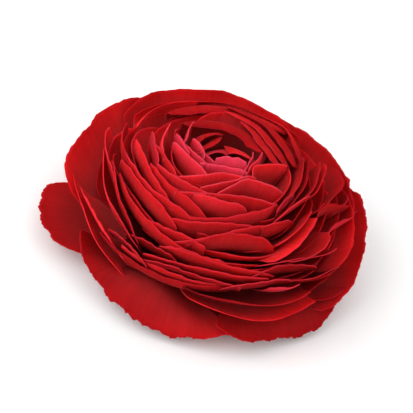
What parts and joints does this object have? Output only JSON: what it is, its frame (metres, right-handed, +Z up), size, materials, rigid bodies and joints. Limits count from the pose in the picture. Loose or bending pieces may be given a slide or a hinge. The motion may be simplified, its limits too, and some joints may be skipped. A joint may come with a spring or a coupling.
{
  "type": "persian buttercup bloom",
  "caption": "Double persian buttercup bloom, cut below the calyx: thin waved petals spiral out from a dark heart to drooping guard petals that it rests on.",
  "frame": {"origin": "centre of the footprint, on the surface that the bloom rests on", "axes": "+Z up along the flower's axis out of its heart, +X to the right and -Y to the front, as seen from the side that the picture shows"},
  "size_m": [0.093, 0.0852, 0.0363],
  "materials": {
    "petal": "soft satin, finely veined",
    "calyx": "matt, finely downy",
    "pistil": "matt, finely beaded"
  },
  "bodies": {
    "root": {"petals": "petal", "calyx": "calyx", "pistil": "pistil"}
  },
  "joints": []
}
